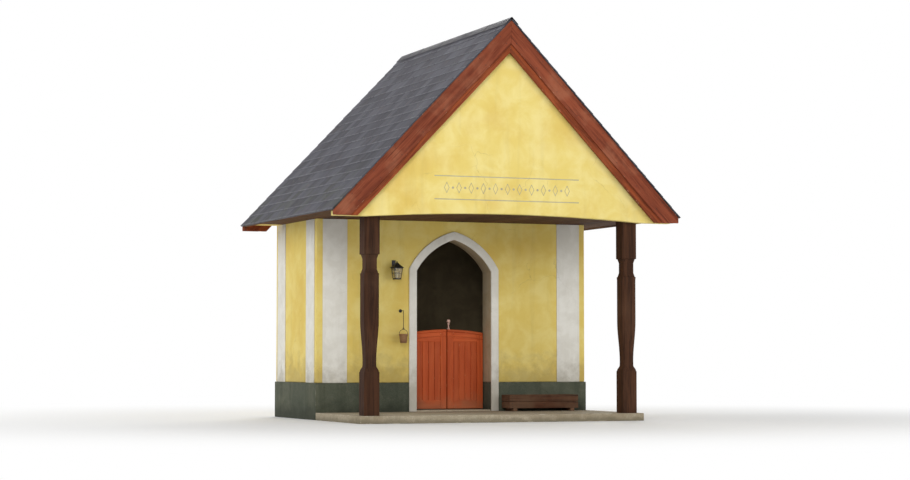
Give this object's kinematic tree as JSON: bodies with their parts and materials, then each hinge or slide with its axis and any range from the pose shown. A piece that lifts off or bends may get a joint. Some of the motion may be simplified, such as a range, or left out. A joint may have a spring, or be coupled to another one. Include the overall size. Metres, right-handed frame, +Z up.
{
  "type": "wayside chapel",
  "caption": "Small plastered wayside chapel: steep gabled slate roof drawn forward over a porch on two carved posts, pointed-arch doorway with a half-height double gate",
  "frame": {"origin": "on the ground under the middle of the roof, at the bottom centre of the bounding box", "axes": "+X to the right along the front, +Y from the porch into the building, +Z up; the front with the doorway faces -Y"},
  "size_m": [4.96, 4.05, 5.2995],
  "materials": {
    "yellow_plaster": "limewashed smooth plaster",
    "white_plaster": "smooth white plaster, slightly soiled",
    "plinth_render": "dark grey-green rough render",
    "concrete": "worn screed",
    "dark_timber": "dark brown stained timber",
    "brown_boarding": "brown stained boards",
    "red_timber": "red-brown stained boards",
    "slate": "weathered slate",
    "ridge_metal": "dull dark sheet",
    "gate_paint": "red-orange paint, satin",
    "black_iron": "black wrought iron, satin",
    "lantern_glass": "aged yellowish glass",
    "terracotta": "dull brown fired clay"
  },
  "bodies": {
    "chapel": {"back_wall": "yellow_plaster", "bargeboard_back_left": "red_timber", "bargeboard_back_right": "red_timber", "bargeboard_front_left": "red_timber", "bargeboard_front_right": "red_timber", "corner_bands_back": "white_plaster", "corner_bands_front": "white_plaster", "corner_bands_left": "white_plaster", "corner_bands_right": "white_plaster", "door_sill": "concrete", "door_surround": "white_plaster", "eaves_soffit_left": "brown_boarding", "eaves_soffit_right": "brown_boarding", "front_gable": "yellow_plaster", "front_wall_gable": "yellow_plaster", "front_wall_left": "yellow_plaster", "front_wall_right": "yellow_plaster", "gate_pintles_left": "black_iron", "gate_pintles_right": "black_iron", "hanging_pot": "terracotta", "lantern_glass": "lantern_glass", "left_wall": "yellow_plaster", "plank_trough": "dark_timber", "plinth_back": "plinth_render", "plinth_front_left": "plinth_render", "plinth_front_right": "plinth_render", "plinth_left": "plinth_render", "plinth_right": "plinth_render", "porch_ceiling": "brown_boarding", "porch_floor": "concrete", "porch_post_left": "dark_timber", "porch_post_right": "dark_timber", "pot_hanger": "black_iron", "ridge_cap": "ridge_metal", "right_wall": "yellow_plaster", "roof_boarding_left": "brown_boarding", "roof_boarding_right": "brown_boarding", "roof_slates_left": "slate", "roof_slates_right": "slate", "room_ceiling": "brown_boarding", "room_floor": "concrete", "side_beam_left": "dark_timber", "side_beam_right": "dark_timber", "verge_trim_back_left": "red_timber", "verge_trim_back_right": "red_timber", "verge_trim_front_left": "red_timber", "verge_trim_front_right": "red_timber", "wall_lantern": "black_iron"},
    "gate_left": {"gate_leaf_left": "gate_paint", "gate_straps_left": "black_iron"},
    "gate_right": {"gate_leaf_right": "gate_paint", "gate_straps_right": "black_iron", "gate_finial": "gate_paint"}
  },
  "joints": [
    {"name": "gate_left_hinge", "type": "hinge", "parent": "chapel", "child": "gate_left", "pos_m": [-0.536, 0.309, 0.6575], "axis": [0, 0, 1], "range_deg": [0, 90]},
    {"name": "gate_right_hinge", "type": "hinge", "parent": "chapel", "child": "gate_right", "pos_m": [0.536, 0.309, 0.6575], "axis": [0, 0, -1], "range_deg": [0, 90]}
  ]
}
